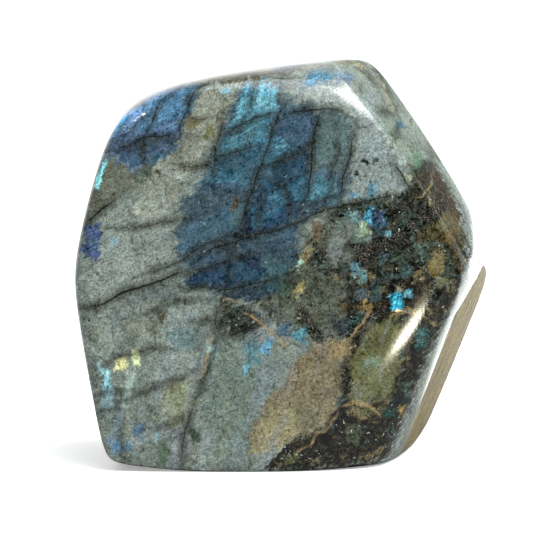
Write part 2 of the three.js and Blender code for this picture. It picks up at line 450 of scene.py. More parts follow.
# Dark cleavage cracks of the front face: half width in mm, and points along them.
faceCracks = {
    "mainLeft": dict(wide=0.55,
        at=[(-65, 51), (-60.5, 52), (-55, 54.5), (-50.5, 57), (-45, 58.5), (-38, 60.5),
            (-34, 62.5), (-30, 64)]),
    "mainMiddle": dict(wide=0.38,
        at=[(-31, 64), (-25.5, 69), (-17, 72), (-11, 74), (-2.5, 76), (3, 78.5)]),
    "mainRight": dict(wide=0.38,
        at=[(-6, 75.5), (3, 78), (8.5, 81), (16, 83), (23, 84.5), (28.5, 85.5), (34, 86.5),
            (41, 85.5)]),
    "mainUpper": dict(wide=0.3,
        at=[(-43.5, 62.5), (-34.5, 66), (-31, 68.5), (-24, 72), (-18.5, 74)]),
    "steepOne": dict(wide=0.36,
        at=[(-2.5, 117.5), (-3.5, 110.5), (-5, 107), (-6, 102.5), (-8, 97.5), (-10, 93),
            (-11, 88.5), (-12.5, 85), (-15, 77), (-17, 72), (-18, 67)]),
    "steepLower": dict(wide=0.3,
        at=[(-16.5, 72.5), (-18, 67), (-19.5, 59.5), (-21, 53), (-23, 47), (-22.5, 43.5)]),
    "steepTwo": dict(wide=0.42,
        at=[(10, 113.5), (8.5, 107), (7.5, 100), (7, 93.5), (5.5, 86.5), (4.5, 81)]),
    "steepThree": dict(wide=0.36,
        at=[(21, 107), (19.5, 100), (17.5, 93), (16.5, 88), (15.5, 83)]),
    "steepFine": dict(wide=0.18,
        at=[(15.5, 103), (15.5, 100), (13.5, 93), (13, 87)]),
    "steepLeft": dict(wide=0.28,
        at=[(-21, 111), (-22, 104.5), (-23, 101), (-23.5, 97), (-23.5, 92)]),
    "steepShort": dict(wide=0.28,
        at=[(-8, 88.5), (-9, 81.5), (-10, 78.5)]),
    "steepTeal": dict(wide=0.2,
        at=[(-10, 121), (-12, 115.5), (-13, 110.5)]),
    "cornerSteep": dict(wide=0.3,
        at=[(-34.5, 121), (-38, 117.5), (-41, 114), (-43, 109), (-45, 105), (-45.5, 102),
            (-46, 98.5), (-45, 95.5)]),
    "cornerRight": dict(wide=0.32,
        at=[(-25.5, 122), (-30.5, 117.5), (-32, 112.5), (-33.5, 109), (-34.5, 105)]),
    "cornerShelf": dict(wide=0.34,
        at=[(-56, 100.5), (-53, 101.5), (-48.5, 103), (-45, 105), (-41, 105), (-34, 105)]),
    "cornerLine": dict(wide=0.2,
        at=[(-54.5, 104.5), (-50.5, 106.5), (-47, 109.5), (-43, 112), (-41, 114)]),
    "cornerFine": dict(wide=0.16,
        at=[(-52, 109), (-53.5, 105), (-54, 102.5)]),
    "shelfOne": dict(wide=0.34,
        at=[(-20.5, 105), (-15, 108.5), (-10, 111), (-5.5, 112.5), (-3, 114)]),
    "shelfTwo": dict(wide=0.3,
        at=[(-23, 98.5), (-19, 99.5), (-14.5, 101), (-10, 102), (-6.5, 102.5)]),
    "shelfThree": dict(wide=0.26,
        at=[(-34, 96), (-32, 95.5), (-29.5, 95.5), (-27, 96), (-23, 97)]),
    "shelfFour": dict(wide=0.28,
        at=[(-10, 94.5), (-5.5, 96.5), (-2, 97.5)]),
    "shelfFive": dict(wide=0.26,
        at=[(-6.5, 95.5), (-1.5, 98), (3, 100), (7.5, 103)]),
    "shelfSix": dict(wide=0.2,
        at=[(5, 83), (9.5, 85), (14, 86.5), (16.5, 87)]),
    "domeRim": dict(wide=0.25,
        at=[(-6, 92), (-3, 90), (-1, 88), (0, 85), (0.5, 80.5)]),
    "darkTop": dict(wide=0.4,
        at=[(-1, 111.5), (4, 113), (9, 113.5), (15, 113.5), (19, 111.5)]),
    "rimLine": dict(wide=0.28,
        at=[(-19, 124), (-6, 125.5), (4, 127), (12, 127.5), (20.5, 128)]),
    "blueFoot": dict(wide=0.36,
        at=[(-34, 58.5), (-32, 57.5), (-27.5, 58), (-23, 57.5), (-19, 57.5), (-14.5, 58.5),
            (-9, 59.5), (-2.5, 61), (1.5, 63)]),
    "blueBranch": dict(wide=0.3,
        at=[(-34, 61.5), (-29.5, 63), (-24, 64.5), (-18.5, 66.5), (-9, 68.5)]),
    "spurCrack": dict(wide=0.2,
        at=[(-52, 76.5), (-45, 77), (-40, 78), (-35, 79), (-32, 79.5)]),
    "bandCrack": dict(wide=0.22,
        at=[(-33.5, 111), (-29.5, 110.5), (-24.5, 111)]),
    "bandSide": dict(wide=0.3,
        at=[(-32.5, 111.5), (-33.5, 108), (-34, 103.5)]),
    "wedge": dict(wide=0.5,
        at=[(-63.5, 78), (-61, 79.5), (-58, 82.5), (-54.5, 85)]),
    "bevelCrack": dict(wide=0.26,
        at=[(29.5, 113), (33, 112.5), (35.5, 111.5)]),
    "bevelFine": dict(wide=0.16,
        at=[(34, 104.5), (35, 108)]),
    "bevelDark": dict(wide=0.42,
        at=[(33, 96.5), (36, 92.5), (39.5, 87)]),
    "bevelEdge": dict(wide=0.4,
        at=[(37.5, 93), (41.5, 94.5), (46.5, 96.5)]),
    "lowOne": dict(wide=0.17,
        at=[(-43.5, 50), (-40, 51.5), (-35.5, 53.5), (-27.5, 54)]),
    "lowTwo": dict(wide=0.22,
        at=[(-56, 35), (-53, 36.5), (-48.5, 37), (-45, 38), (-41.5, 39), (-38.5, 39)]),
    "lowThree": dict(wide=0.18,
        at=[(-52.5, 22.5), (-48.5, 23.5), (-43, 26.5), (-37.5, 28), (-33, 30)]),
    "lowFour": dict(wide=0.2,
        at=[(-60, 18.5), (-57, 19.5), (-53.5, 20)]),
    "lowFive": dict(wide=0.18,
        at=[(-41, 14), (-36.5, 15), (-33.5, 16.5), (-32, 17.5)]),
    "lowSix": dict(wide=0.17,
        at=[(-59.5, 24), (-56, 25), (-52.5, 25.5)]),
    "steepFoot": dict(wide=0.24,
        at=[(-22.5, 43.5), (-24.5, 35), (-27, 27.5), (-29.5, 22)]),
    "lowDark": dict(wide=0.36,
        at=[(-29.5, 22), (-31, 16.5), (-32.5, 11), (-33.5, 2.5)]),
    "lowSteep": dict(wide=0.26,
        at=[(-52.5, 11.5), (-52.5, 8), (-52, 4)]),
    "lowNotch": dict(wide=0.3,
        at=[(-21, 53), (-23, 49), (-22.5, 46), (-20, 42)]),
    "lowShelf": dict(wide=0.4,
        at=[(-19.5, 43), (-16, 44), (-12, 46), (-8.5, 47)]),
    "lowFine": dict(wide=0.16,
        at=[(-28.5, 47.5), (-25.5, 48), (-23, 48.5)]),
}

# Gold and tan veins of the front face.
faceVeins = {
    "goldRise": dict(wide=0.21,
        at=[(-21, 53.5), (-18.5, 54.5), (-15, 53.5), (-13.5, 53)]),
    "goldRun": dict(wide=0.28,
        at=[(-15, 50.5), (-11, 48.5), (-7.5, 46), (-5, 43.5), (-2.5, 40.5)]),
    "goldFall": dict(wide=0.24,
        at=[(-6, 46), (-3, 42), (0, 39), (2.5, 36)]),
    "tanRise": dict(wide=0.21,
        at=[(46.5, 93.5), (46, 90.5), (43, 87.5), (40, 85.5)]),
    "tanFork": dict(wide=0.32,
        at=[(16, 20), (15, 17.5), (13.5, 16), (11.5, 13.5), (8.5, 12), (7, 9), (3, 7), (1, 5)]),
    "orangeEdge": dict(wide=0.32,
        at=[(26, 53.5), (24.5, 49), (22, 45), (19, 42)]),
    "goldArc": dict(wide=0.63,
        at=[(16.5, 20.5), (19, 21.5), (22.5, 22), (26, 20.5), (29, 17)]),
    "tanBits": dict(wide=0.21,
        at=[(31.5, 49), (34, 49.5), (36, 50), (36.5, 51.5)]),
    "brownVein": dict(wide=0.35,
        at=[(-23.5, 44.5), (-24.5, 40), (-26, 34.5), (-27, 31), (-28, 28.5)]),
}

# Black bands of crushed grains.
faceBands = {
    "grainUpper": dict(wide=1.6,
        at=[(17.5, 70), (21, 71), (25.5, 69.5), (28.5, 71.5), (33.5, 73.5), (38.5, 70.5)]),
    "grainHook": dict(wide=1.5,
        at=[(21, 69.5), (23.5, 67), (26, 64)]),
    "grainRise": dict(wide=1.2,
        at=[(34.5, 72.5), (40.5, 78.5), (47.5, 82.5), (51, 87.5)]),
    "grainFall": dict(wide=1.1,
        at=[(27.5, 55), (27, 51), (24.5, 47), (22, 43.5), (19.5, 39), (18, 34.5)]),
    "grainLow": dict(wide=1.3,
        at=[(3, 51.5), (5.5, 47.5), (8.5, 44), (10, 41.5)]),
    "grainFoot": dict(wide=1.0,
        at=[(17.5, 34.5), (17, 29.5), (17.5, 24.5)]),
}

# Small crystals, chips and soft spots of the front face: middle and half sizes in mm, and
# where one is turned, by how many degrees.
faceSpots = {
    "cyanBright": dict(colour="34a1bd", at=(34, 53), half=(2.1, 2.6), turn=10),
    "cyanNext": dict(colour="4c7f8b", at=(37.5, 56), half=(1.3, 1.3)),
    "cyanAbove": dict(colour="415b62", at=(21, 63.5), half=(1.3, 2.0)),
    "cyanBelow": dict(colour="4e6f72", at=(23, 61), half=(1.3, 1.8)),
    "blueLow": dict(colour="3f5362", at=(-1, 45), half=(2.2, 2.4)),
    "blueLowB": dict(colour="497a86", at=(3.5, 43), half=(2.4, 2.6)),
    "mauveSpot": dict(colour="404a4d", at=(23, 56), half=(2.0, 2.2)),
    "cyanMid": dict(colour="2279a2", at=(25, 79.5), half=(1.5, 2.9)),
    "blueMid": dict(colour="2b4957", at=(28.5, 78), half=(2.6, 2.9), turn=20),
    "cyanTip": dict(colour="63909a", at=(31, 75), half=(1.0, 1.1)),
    "greenHaze": dict(colour="53665c", at=(23, 75), half=(2.6, 3.3)),
    "smokeTeal": dict(colour="536b6b", at=(20.5, 80), half=(2.6, 2.0)),
    "cyanStreak": dict(colour="98ccd6", at=(-57, 28.5), half=(1.6, 5.3), turn=8),
    "cyanStreakLow": dict(colour="92afb6", at=(-56.5, 22.5), half=(1.9, 2.6)),
    "yellowOne": dict(colour="c5c590", at=(-52.5, 34), half=(1.8, 2.0)),
    "yellowTwo": dict(colour="beca9a", at=(-47.5, 36), half=(1.2, 2.4)),
    "violetOne": dict(colour="6290b8", at=(-54, 8), half=(2.1, 2.6)),
    "violetTwo": dict(colour="507285", at=(-50.5, 8.5), half=(1.5, 2.4)),
    "violetThree": dict(colour="445f74", at=(-47, 13), half=(2.0, 2.2)),
    "tealSmall": dict(colour="728f8e", at=(-41, 11.5), half=(1.1, 2.0)),
    "blueTile": dict(colour="4d6d74", at=(-11.5, 37.5), half=(2.9, 3.7), turn=15),
    "cyanBent": dict(colour="568aa5", at=(-6.5, 40), half=(1.6, 2.9), turn=-25),
    "cyanDrop": dict(colour="6ca4b3", at=(-13.5, 32), half=(0.9, 1.5)),
    "cyanMiddle": dict(colour="a1cfd3", at=(-24, 39), half=(1.3, 1.5)),
    "blueHaze": dict(colour="637877", at=(-34, 41.5), half=(4.8, 3.3)),
    "greenSpot": dict(colour="2b3e30", at=(-29, 11.5), half=(2.4, 2.6)),
    "greenLow": dict(colour="4b5d4a", at=(-39, 6), half=(2.0, 4.2)),
    "tealLens": dict(colour="60705e", at=(26, 34.5), half=(2.4, 2.0)),
    "tealDark": dict(colour="0e1c1c", at=(36, 20.5), half=(3.7, 3.7)),
    "tealDarkTwo": dict(colour="122d27", at=(31.5, 18), half=(2.4, 1.8)),
    "tealEdge": dict(colour="264846", at=(41.5, 41.5), half=(2.0, 3.5)),
    "smokeBlue": dict(colour="353c2f", at=(20.5, 11.5), half=(2.6, 3.5)),
    "nodule": dict(colour="6a5a31", at=(36, 18.5), half=(1.5, 1.8)),
    "noduleTwo": dict(colour="45482d", at=(1, 4), half=(1.8, 1.5)),
    "noduleThree": dict(colour="595741", at=(8, 3.5), half=(1.8, 1.3)),
    "goldSpot": dict(colour="6c6034", at=(46, 64), half=(2.0, 2.6), turn=20),
    "goldSpotTwo": dict(colour="7d7b65", at=(48, 59.5), half=(1.8, 1.5)),
    "cyanRim": dict(colour="1fa0dc", at=(-53, 109.5), half=(0.9, 4.2), turn=-35),
    "cyanRimTwo": dict(colour="98f0fa", at=(-59, 93.5), half=(1.0, 4.6), turn=-17),
    "cyanFleck": dict(colour="88b9cc", at=(-19.5, 119), half=(1.3, 1.1)),
    "cyanFleckTwo": dict(colour="769398", at=(-55, 72), half=(1.3, 1.3)),
    "cyanBevel": dict(colour="1b536c", at=(36, 108), half=(1.2, 1.2)),
    "greenBevel": dict(colour="52705a", at=(41.5, 97), half=(2.0, 2.4)),
    "goldBevel": dict(colour="9ba188", at=(38, 92), half=(1.3, 1.3)),
    "goldBand": dict(colour="81877b", at=(-30.5, 109), half=(1.5, 2.0)),
    "goldBandTwo": dict(colour="646444", at=(-24.5, 107), half=(1.5, 2.4)),
    "blueCrystal": dict(colour="497992", at=(21, 87), half=(2.2, 1.5)),
    "blueCrystalTwo": dict(colour="527884", at=(26, 88), half=(2.0, 2.9)),
    "brownBlot": dict(colour="4e4c3d", at=(-39.5, 48.5), half=(1.3, 2.0)),
    "tanGlint": dict(colour="414228", at=(24.5, 19), half=(4.0, 1.3)),
    "inkOne": dict(colour="1d2426", at=(24, 97), half=(1.5, 0.9), turn=-30),
    "inkTwo": dict(colour="3f433f", at=(27.5, 97.5), half=(1.1, 0.8), turn=20),
    "inkThree": dict(colour="232726", at=(21, 93.5), half=(0.8, 1.3), turn=15),
    "inkFour": dict(colour="4e554a", at=(38.5, 95.5), half=(1.3, 0.7)),
    "sliverPale": dict(colour="99c0ab", at=(4, 66), half=(1.1, 4.1), turn=-35),
    "sliverBrown": dict(colour="46473b", at=(10, 74.5), half=(1.4, 2.8), turn=-20),
    "paleUpright": dict(colour="45544e", at=(15.5, 74.5), half=(1.7, 4.7), turn=-20),
    "cyanShard": dict(colour="347389", at=(25, 80.5), half=(0.9, 2.2)),
    "deepViolet": dict(colour="2a3950", at=(28, 79.5), half=(1.9, 2.0)),
    "limeGlow": dict(colour="7d8f77", at=(23.5, 75.5), half=(2.2, 2.0), turn=20),
    "tealDim": dict(colour="38474a", at=(30, 67.5), half=(1.7, 1.6)),
    "tealGreen": dict(colour="313e34", at=(34.5, 67.5), half=(1.9, 2.2)),
    "orangeOne": dict(colour="736441", at=(23.5, 52), half=(1.7, 1.7), turn=40),
    "orangeTwo": dict(colour="463e29", at=(17.5, 52), half=(1.4, 1.3)),
    "goldBead": dict(colour="666553", at=(35, 57.5), half=(1.1, 0.8)),
    "goldBeadTwo": dict(colour="c8b08c", at=(34.5, 50.5), half=(1.7, 0.5), turn=8),
    "tealUpright": dict(colour="273533", at=(27.5, 57), half=(1.6, 3.8)),
    "blueDim": dict(colour="2e4648", at=(37, 62.5), half=(1.4, 1.6)),
    "khakiBlock": dict(colour="4c4b35", at=(50, 77), half=(3.1, 2.2)),
    "goldRidge": dict(colour="696245", at=(47, 65.5), half=(1.9, 3.1), turn=15),
    "khakiLow": dict(colour="52543f", at=(48.5, 59.5), half=(2.2, 1.3), turn=20),
    "greyBlue": dict(colour="262d2e", at=(16, 46), half=(3.1, 2.4)),
    "orangeLow": dict(colour="7d7053", at=(16, 39), half=(3.1, 2.8)),
    "tealRight": dict(colour="2a4646", at=(42.5, 42.5), half=(1.9, 1.9)),
    "inkRight": dict(colour="141610", at=(40.5, 35), half=(2.5, 1.9)),
    "oliveNotch": dict(colour="49574f", at=(-46.5, 93), half=(2.2, 1.6), turn=30),
    "chipsPale": dict(colour="454237", at=(-16.5, 83.5), half=(1.1, 2.5), turn=-20),
    "chipsBrown": dict(colour="42585d", at=(-16, 79.5), half=(1.4, 2.8), turn=-17),
    "whiteSpot": dict(colour="939f98", at=(-34.5, 92.5), half=(1.1, 1.3)),
    "beigeSpot": dict(colour="8f958b", at=(-46.5, 81.5), half=(2.2, 1.6)),
    "darkNotch": dict(colour="35321a", at=(-41, 94), half=(0.9, 1.3), turn=-20),
    "umberBand": dict(colour="6b6649", at=(-29.5, 109), half=(1.9, 1.6)),
    "lilacLow": dict(colour="5f7176", at=(-53.5, 15), half=(1.3, 6.9), turn=-10),
    "tealTrace": dict(colour="889990", at=(-50.5, 25), half=(1.3, 6.3), turn=-12),
    "warmSlope": dict(colour="57503f", at=(8.5, 75), half=(1.9, 3.1), turn=-20),
    "paleSlope": dict(colour="4a5246", at=(12, 76), half=(1.1, 4.4), turn=-16),
    "warmChip": dict(colour="665c42", at=(5.5, 68), half=(1.3, 2.5), turn=-28),
    "tanSliver": dict(colour="7d7650", at=(3.5, 57.5), half=(1.1, 2.8), turn=-22),
    "greySlope": dict(colour="686e6a", at=(15, 71), half=(2.0, 5.3), turn=-18),
    "greenFoot": dict(colour="34473a", at=(-1.5, 57.5), half=(1.9, 1.9), turn=-20),
}

stoneFinish = {
    "body": "87948b",  # the plain feldspar
    "bodyDark": "4c5248",
    "bodyWarm": "8d8b70",
    "faceDark": "59625c",  # the plain feldspar of the front face
    "facePale": "78837c",
    "flashDeep": "1f4a72",  # the blue flash on the sides and the back
    "flashPale": "3a7c96",
    "crushed": "1c1d16",
    "crack": "14150f",
    "gold": "9a855c",
    "raw": "6e6139",  # the unpolished side
    "rawPale": "928757",
    "rawDark": "3d341d",
    "beside": "23241c",  # beside the cracks
    "dull": "3c4540",  # between the flashing tiles
    "crushedWarm": "6a6042",
    "groundTeal": "3c5450",  # pieces in the broken ground of the front face
    "groundOlive": "6b6244",
    "groundBlack": "10110d",
    "bandBlack": "12120e",
    "crumb": "8a8476",
    "tileViolet": "43506a",
    "tileTeal": "38748a",
    "lowLilac": "858c9c",
    "lowOlive": "6d7158",
    "chip": "aab4a4",
    "streakPale": "86c0c8",
    "streakDark": "1c2c38",
    "glint": "c8d0c0",
    "frontFades": (-20.0, -6.0),  # mm from front to back, where the face's own markings end
}


def finish(name):
    return hue(stoneFinish[name])


# How far a ray from the origin at each angle goes until it leaves the corners' outline.
def outlineReach(corners, angles):
    edges = np.roll(corners, -1, axis=0) - corners
    rays = np.stack([np.cos(angles), np.sin(angles)], -1)[:, None]
    cross = rays[..., 0] * edges[:, 1] - rays[..., 1] * edges[:, 0]
    cross = np.where(np.abs(cross) < 1e-9, 1e-9, cross)
    far = (corners[:, 0] * edges[:, 1] - corners[:, 1] * edges[:, 0]) / cross
    share = (corners[:, 0] * rays[..., 1] - corners[:, 1] * rays[..., 0]) / cross
    return np.where((share >= 0) & (share <= 1) & (far > 0), far, 0).max(1)


def outlineMiddle(corners):
    after = np.roll(corners, -1, axis=0)
    cross = corners[:, 0] * after[:, 1] - after[:, 0] * corners[:, 1]
    return ((corners + after) * cross[:, None]).sum(0) / (3 * cross.sum())


# A point of the face is (across, up, 1) in millimetres, so one dot product measures how far
# it lies past a place, in a direction turned by an angle.
def past(tree, where, at, angle, unit=1.0):
    c, s = math.cos(angle) / unit, math.sin(angle) / unit
    return vectorCalc(tree, "DOT_PRODUCT", where, (c, s, -c * at[0] - s * at[1]))


# One inside the corners, zero outside, soft over the given millimetres. Its edge moves in
# and out with the ragged value, which is a noise around zero.
def patchMask(tree, where, ragged, at, soft):
    corners = np.array(at, float)
    middle = outlineMiddle(corners)
    angles = np.linspace(-math.pi, math.pi, 65)
    x, y = past(tree, where, middle, 0), past(tree, where, middle, math.pi / 2)
    rim = curve(tree, calc(tree, "ARCTAN2", y, x), angles, outlineReach(corners - middle, angles))
    inside = calc(tree, "SUBTRACT", rim, vectorCalc(tree, "DISTANCE", where, (*middle, 1)))
    inside = calc(tree, "MULTIPLY_ADD", ragged, 4 * soft, inside)
    return span(tree, inside, -soft, soft)


# How far a place lies inside a line through the points, which thins out towards both of
# its ends: above zero on the line, below zero beside it, in millimetres.
def lineDepth(tree, where, at, wide):
    points = np.array(at, float)
    run = points[-1] - points[0]
    length = float(np.hypot(*run))
    turn = math.atan2(run[1], run[0])
    offset = points - points[0]
    along = offset @ np.array([math.cos(turn), math.sin(turn)])
    aside = offset @ np.array([-math.sin(turn), math.cos(turn)])
    x, y = past(tree, where, points[0], turn), past(tree, where, points[0], turn + math.pi / 2)
    path = curve(tree, x, along, aside, smooth=True)
    thick = curve(tree, x, (-0.6, length * 0.12, length * 0.5, length * 0.86, length + 0.6),
                  (-0.4, wide * 0.8, wide, wide * 0.7, -0.4))
    gap = calc(tree, "ABSOLUTE", calc(tree, "SUBTRACT", y, path))
    return calc(tree, "SUBTRACT", thick, gap)


# The same for a whole set of lines, of which the nearest counts.
def linesDepth(tree, where, lines):
    depth = -100.0
    for line in lines.values():
        depth = calc(tree, "MAXIMUM", depth, lineDepth(tree, where, line["at"], line["wide"]))
    return depth


# A place on the face, as (across, up, 1).
def onFace(tree, where):
    x, y, _ = split(tree, where)
    return join(tree, x, y, 1.0)


# One in the middle of a block of the given half sizes, zero outside its ragged edge.
def spotMask(tree, where, ragged, at, half, turn, soft=0.4):
    angle = math.radians(turn)
    x = past(tree, where, at, angle, half[0])
    y = past(tree, where, at, angle + math.pi / 2, half[1])
    far = calc(tree, "MAXIMUM", calc(tree, "ABSOLUTE", x), calc(tree, "ABSOLUTE", y))
    far = calc(tree, "MULTIPLY_ADD", ragged, 2.6, far)
    return span(tree, far, 0.85 + soft, 0.85 - soft)


def newGroup(name, inputs, outputs):
    group = bpy.data.node_groups.new(name, "ShaderNodeTree")
    kinds = {"vector": "NodeSocketVector", "value": "NodeSocketFloat", "colour": "NodeSocketColor"}
    for label, kind in inputs:
        group.interface.new_socket(label, in_out="INPUT", socket_type=kinds[kind])
    for label, kind in outputs:
        group.interface.new_socket(label, in_out="OUTPUT", socket_type=kinds[kind])
    return group, group.nodes.new("NodeGroupInput"), group.nodes.new("NodeGroupOutput")


def useGroup(tree, group, **values):
    node = tree.nodes.new("ShaderNodeGroup")
    node.node_tree = group
    for label, value in values.items():
        feed(tree, value, node.inputs[label])
    return node.outputs


# Fine mineral grain: a tone around one, drawn out here and there along the two cleavages, a
# haze around zero that dark stone shows most, and black flecks and bright glints in crowds.
def makeGrain():
    tree, given, out = newGroup("mineralGrain", [("Place", "vector")],
                                [("Tone", "value"), ("Haze", "value"), ("Fleck", "value"),
                                 ("Glint", "value")])
    where = given.outputs["Place"]
    crowd = noise(tree, where, 10, 2)["Fac"]
    fine = noise(tree, where, 1.5, 3, 0.8, 0.5)["Fac"]
    dust = noise(tree, where, 0.62, 1, 0.5)["Fac"]
    chips = noise(tree, where, 0.95, 2, 0.5, 0.8)["Fac"]
    shallow = noise(tree, placed(tree, where, turn=29, size=(5, 0.5, 3)), 1.0, 2, 0.7)["Fac"]
    steep = noise(tree, placed(tree, where, turn=-14, size=(0.5, 5, 3)), 1.0, 2, 0.7)["Fac"]
    tone = calc(tree, "MULTIPLY_ADD", fine, 1.3, -0.5)
    tone = calc(tree, "MULTIPLY_ADD", dust, 1.7, tone)
    drawn = blend(tree, span(tree, crowd, 0.4, 0.6), shallow, steep)
    tone = calc(tree, "ADD", tone, calc(tree, "MULTIPLY_ADD", split(tree, drawn)[0], 1.0, -0.5))
    feed(tree, tone, out.inputs["Tone"])
    feed(tree, calc(tree, "MULTIPLY_ADD", fine, 0.10, -0.05), out.inputs["Haze"])
    fleck = calc(tree, "MULTIPLY", span(tree, chips, 0.655, 0.70), span(tree, crowd, 0.46, 0.56))
    feed(tree, fleck, out.inputs["Fleck"])
    glint = calc(tree, "MULTIPLY", span(tree, chips, 0.325, 0.28), span(tree, crowd, 0.52, 0.42))
    feed(tree, glint, out.inputs["Glint"])
    return tree


# Tiles between the two cleavages, each a little lighter or darker and bluer or greener than
# the next: a cell pattern on slanted axes, one along each cleavage.
def makeTiles():
    tree, given, out = newGroup("cleavageTiles", [("Place", "vector"), ("Ragged", "value")],
                                [("Shade", "value"), ("Shift", "value"), ("Edge", "value")])
    where, ragged = given.outputs["Place"], given.outputs["Ragged"]
    along = vectorCalc(tree, "DOT_PRODUCT", where, (0.97 / 13, 0.24 / 13, 0.03))
    across = vectorCalc(tree, "DOT_PRODUCT", where, (-0.42 / 8.5, 0.91 / 8.5, 0.04))
    along = calc(tree, "MULTIPLY_ADD", ragged, 0.35, along)
    across = calc(tree, "MULTIPLY_ADD", ragged, 0.5, across)
    slanted = join(tree, along, across, 0.0)
    tiles = cells(tree, slanted, 0.62, flat=True)
    border = cells(tree, slanted, 0.62, "DISTANCE_TO_EDGE", flat=True)
    red, green, _ = split(tree, tiles["Color"])
    feed(tree, red, out.inputs["Shade"])
    feed(tree, green, out.inputs["Shift"])
    feed(tree, span(tree, border["Distance"], 0.05, 0.0), out.inputs["Edge"])
    return tree


# Feldspar through and through: grey-green, cracked along two cleavages, and flashing blue
# in some of the blocks between the cracks. It covers the sides, the back and the base.
def makeBody():
    tree, given, out = newGroup("feldsparBody", [("Place", "vector")],
                                [("Colour", "colour"), ("Crack", "value")])
    where = given.outputs["Place"]
    cloud = noise(tree, where, 26, 3, 0.55, 0.6)["Fac"]
    tint = noise(tree, where, 9, 4, 0.6, 0.8)["Fac"]
    colour = blend(tree, span(tree, cloud, 0.36, 0.62), finish("bodyDark"), finish("body"))
    colour = blend(tree, span(tree, tint, 0.52, 0.7), colour, finish("bodyWarm"))
    # dark broken ground in places, brown between the black
    ground = noise(tree, vectorCalc(tree, "ADD", where, (60.0, 15.0, 5.0)), 30, 5, 0.6, 0.4)["Fac"]
    broken = calc(tree, "MULTIPLY", span(tree, ground, 0.56, 0.62), 0.85)
    colour = blend(tree, broken, colour, blend(
        tree, span(tree, tint, 0.42, 0.6), finish("crushed"), finish("crushedWarm")))
    # the flash: broad fields that run out in feathers along the cleavage, and in them blocks
    # that are deeper or paler than the next
    shift = noise(tree, where, 14, 2)["Color"]
    loose = vectorCalc(tree, "ADD", where, scaled(tree, vectorCalc(
        tree, "SUBTRACT", shift, (0.5, 0.5, 0.5)), 5.0))
    slanted = placed(tree, loose, turn=24, size=(21, 10, 17))
    pick = split(tree, cells(tree, slanted, 0.85)["Color"])
    feather = noise(tree, placed(tree, where, turn=27, size=(11, 1.4, 5)), 1.0, 3, 0.6)["Fac"]
    field = noise(tree, where, 36, 3, 0.5, 0.3)["Fac"]
    field = calc(tree, "MULTIPLY_ADD", feather, 0.13, calc(tree, "ADD", field, -0.065))
    field = calc(tree, "MULTIPLY_ADD", calc(tree, "SUBTRACT", pick[0], 0.5), 0.10, field)
    # the flash turns dull near the right rim
    over, _, deep = split(tree, where)
    calm = calc(tree, "MAXIMUM", span(tree, over, 34, 16), span(tree, deep, 22, 30))
    share = calc(tree, "MULTIPLY", span(tree, field, 0.53, 0.58), calm)
    flash = blend(tree, pick[2], finish("flashDeep"), finish("flashPale"))
    shade = calc(tree, "MULTIPLY_ADD", pick[1], 0.5, 0.75)
    flash = blend(tree, 1.0, flash, join(tree, shade, shade, shade), "MULTIPLY")
    flash = blend(tree, calc(tree, "MULTIPLY", span(tree, tint, 0.5, 0.62), 0.6), flash,
                  finish("dull"))
    colour = blend(tree, calc(tree, "MULTIPLY", share, 0.9), colour, flash)
    seams = cells(tree, slanted, 0.85, "DISTANCE_TO_EDGE")
    width = span(tree, noise(tree, where, 17, 2)["Fac"], 0.46, 0.64, 0.0, 0.03)
    crack = span(tree, seams["Distance"], width, 0.0)
    dark = calc(tree, "MULTIPLY", span(tree, seams["Distance"], 0.14, 0.0), calc(
        tree, "MULTIPLY_ADD", width, 11.0, 0.06))
    colour = blend(tree, dark, colour, finish("beside"))
    feed(tree, colour, out.inputs["Colour"])
    feed(tree, crack, out.inputs["Crack"])
    return tree


# Thin dark or pale lines where a noise, drawn out along one direction, crosses its middle.
def hairlines(tree, where, turn, size, width, patchy):
    drawn = noise(tree, placed(tree, where, turn=turn, size=size), 1.0, 3, 0.55, 0.4)["Fac"]
    line = calc(tree, "ABSOLUTE", calc(tree, "SUBTRACT", drawn, 0.5))
    return calc(tree, "MULTIPLY", span(tree, line, width, 0.0), patchy)


# The flat areas of the face, one over the other, and how broken the ground is.
def makePatches():
    tree, given, out = newGroup("facePatches", [("Under", "colour"), ("Place", "vector"),
                                                ("Ragged", "value")],
                                [("Colour", "colour"), ("Rubble", "value")])
    colour, where, ragged = given.outputs["Under"], given.outputs["Place"], given.outputs["Ragged"]
    rubble = 0.0
    for patch in facePatches.values():
        mask = patchMask(tree, where, ragged, patch["at"], patch["soft"])
        colour = blend(tree, mask, colour, hue(patch["colour"]))
        if "rubble" in patch or rubble != 0.0:
            rubble = mix(tree, mask, rubble, patch.get("rubble", 0.0))
    feed(tree, colour, out.inputs["Colour"])
    feed(tree, rubble, out.inputs["Rubble"])
    return tree


def makeSpots():
    tree, given, out = newGroup("faceSpots", [("Under", "colour"), ("Place", "vector"),
                                              ("Ragged", "value")], [("Colour", "colour")])
    colour, where, ragged = given.outputs["Under"], given.outputs["Place"], given.outputs["Ragged"]
    for spot in faceSpots.values():
        mask = spotMask(tree, where, ragged, spot["at"], spot["half"], spot.get("turn", 0))
        colour = blend(tree, mask, colour, hue(spot["colour"]))
    feed(tree, colour, out.inputs["Colour"])
    return tree


def makeLines(name, lines):
    tree, given, out = newGroup(name, [("Place", "vector")], [("Depth", "value")])
    feed(tree, linesDepth(tree, given.outputs["Place"], lines), out.inputs["Depth"])
    return tree


